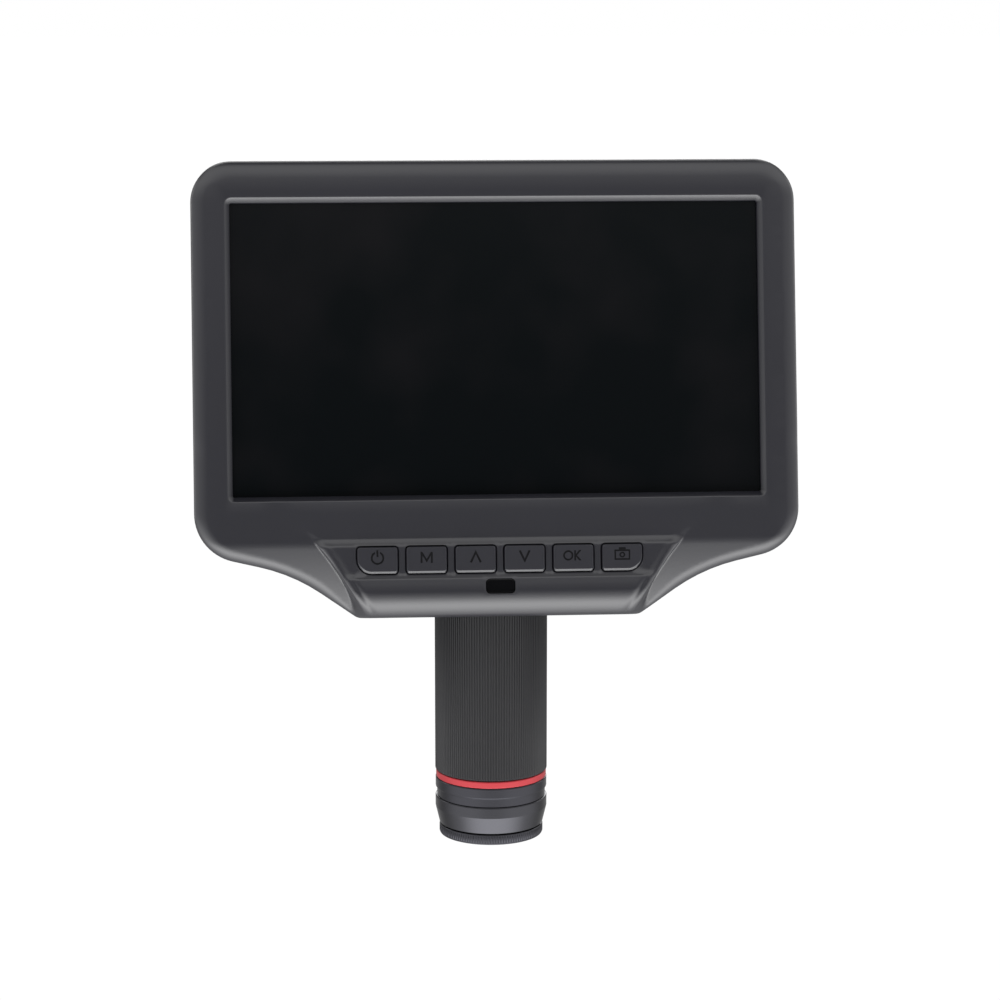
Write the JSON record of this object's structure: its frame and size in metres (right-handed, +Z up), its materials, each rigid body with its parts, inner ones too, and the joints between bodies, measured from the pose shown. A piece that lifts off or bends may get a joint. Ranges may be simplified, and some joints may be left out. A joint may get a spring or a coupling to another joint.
{
  "type": "lcd digital microscope",
  "caption": "Microscope head: a tilting screen housing with push buttons in a flared chin, hinged to a lens barrel with a ribbed focus ring.",
  "frame": {"origin": "on the optical axis, half way up the smooth seat that a stand's ring clamps", "axes": "+Z up the optical axis from the lens end to the hinge, +X to the viewer's right, -Y towards the viewer of the screen"},
  "size_m": [0.177, 0.0616, 0.2077],
  "materials": {
    "bezel_plastic": "fine satin moulded",
    "cover_plastic": "fine textured moulded",
    "button_plastic": "satin moulded",
    "black_glass": "gloss",
    "display": "gloss",
    "steel": "brushed",
    "screw_steel": "black oxide",
    "board_green": "solder mask",
    "chip_black": "matte",
    "socket_metal": "plated",
    "foam": "soft",
    "smoked_window": "gloss smoked",
    "grip_rubber": "ribbed",
    "barrel_black": "satin anodised",
    "nose_black": "satin anodised",
    "accent_red": "red anodised",
    "casing_plastic": "fine textured moulded",
    "lens_glass": "coated",
    "friction_plastic": "natural"
  },
  "bodies": {
    "barrel": {"head_casing": "casing_plastic", "grub_screws": "screw_steel", "sensor_board": "board_green", "sensor_screws": "steel", "image_sensor": "display", "filter_holder": "chip_black", "cut_filter": "lens_glass", "barrel_tube": "barrel_black", "fixed_lens": "lens_glass", "fixed_ring": "barrel_black", "accent_ring": "accent_red", "nose_collar": "barrel_black", "taper_ring": "nose_black", "filter_ring": "nose_black", "front_glass": "lens_glass"},
    "screen": {"front_bezel": "bezel_plastic", "rear_cover": "cover_plastic", "lcd_gasket": "foam", "screen_glass": "black_glass", "lcd_panel": "display", "lcd_frame": "steel", "main_board": "board_green", "board_chips": "chip_black", "video_socket": "socket_metal", "usb_socket": "socket_metal", "card_socket": "socket_metal", "case_screws": "screw_steel", "board_screws": "steel", "button_board": "board_green", "tact_switches": "chip_black", "ir_window": "smoked_window", "ir_receiver": "chip_black", "hinge_bracket": "barrel_black", "bracket_screws": "screw_steel", "hinge_pin": "steel", "hinge_nut": "steel", "friction_washers": "friction_plastic"},
    "focus_ring": {"focus_sleeve": "barrel_black", "focus_grip": "grip_rubber"},
    "lens_carrier": {"lens_cell": "barrel_black", "cam_pin": "steel", "lower_lens": "lens_glass", "upper_lens": "lens_glass", "cell_rings": "barrel_black"},
    "key_power": {"button_power": "button_plastic"},
    "key_menu": {"button_menu": "button_plastic"},
    "key_up": {"button_up": "button_plastic"},
    "key_down": {"button_down": "button_plastic"},
    "key_ok": {"button_ok": "button_plastic"},
    "key_camera": {"button_camera": "button_plastic"}
  },
  "joints": [
    {"name": "screen_tilt", "type": "hinge", "parent": "barrel", "child": "screen", "pos_m": [0, -0.00259, 0.0379], "axis": [-1, 0, 0], "range_deg": [0, 60]},
    {"name": "focus_turn", "type": "hinge", "parent": "barrel", "child": "focus_ring", "pos_m": [0, 0, 0], "axis": [0, 0, 1], "range_deg": [0, 270]},
    {"name": "lens_focus", "type": "slide", "parent": "barrel", "child": "lens_carrier", "axis": [0, 0, 1], "range_m": [0, 0.009]},
    {"name": "press_power", "type": "slide", "parent": "screen", "child": "key_power", "axis": [0, 0.9799, -0.1994], "range_m": [0, 0.0006], "stiffness_N_per_m": 900, "springref_m": -0.0006},
    {"name": "press_menu", "type": "slide", "parent": "screen", "child": "key_menu", "axis": [0, 0.9799, -0.1994], "range_m": [0, 0.0006], "stiffness_N_per_m": 900, "springref_m": -0.0006},
    {"name": "press_up", "type": "slide", "parent": "screen", "child": "key_up", "axis": [0, 0.9799, -0.1994], "range_m": [0, 0.0006], "stiffness_N_per_m": 900, "springref_m": -0.0006},
    {"name": "press_down", "type": "slide", "parent": "screen", "child": "key_down", "axis": [0, 0.9799, -0.1994], "range_m": [0, 0.0006], "stiffness_N_per_m": 900, "springref_m": -0.0006},
    {"name": "press_ok", "type": "slide", "parent": "screen", "child": "key_ok", "axis": [0, 0.9799, -0.1994], "range_m": [0, 0.0006], "stiffness_N_per_m": 900, "springref_m": -0.0006},
    {"name": "press_camera", "type": "slide", "parent": "screen", "child": "key_camera", "axis": [0, 0.9799, -0.1994], "range_m": [0, 0.0006], "stiffness_N_per_m": 900, "springref_m": -0.0006}
  ],
  "couplings": [
    {"joint": "focus_turn", "follows": "lens_focus", "rad_per_m": 523.59}
  ]
}
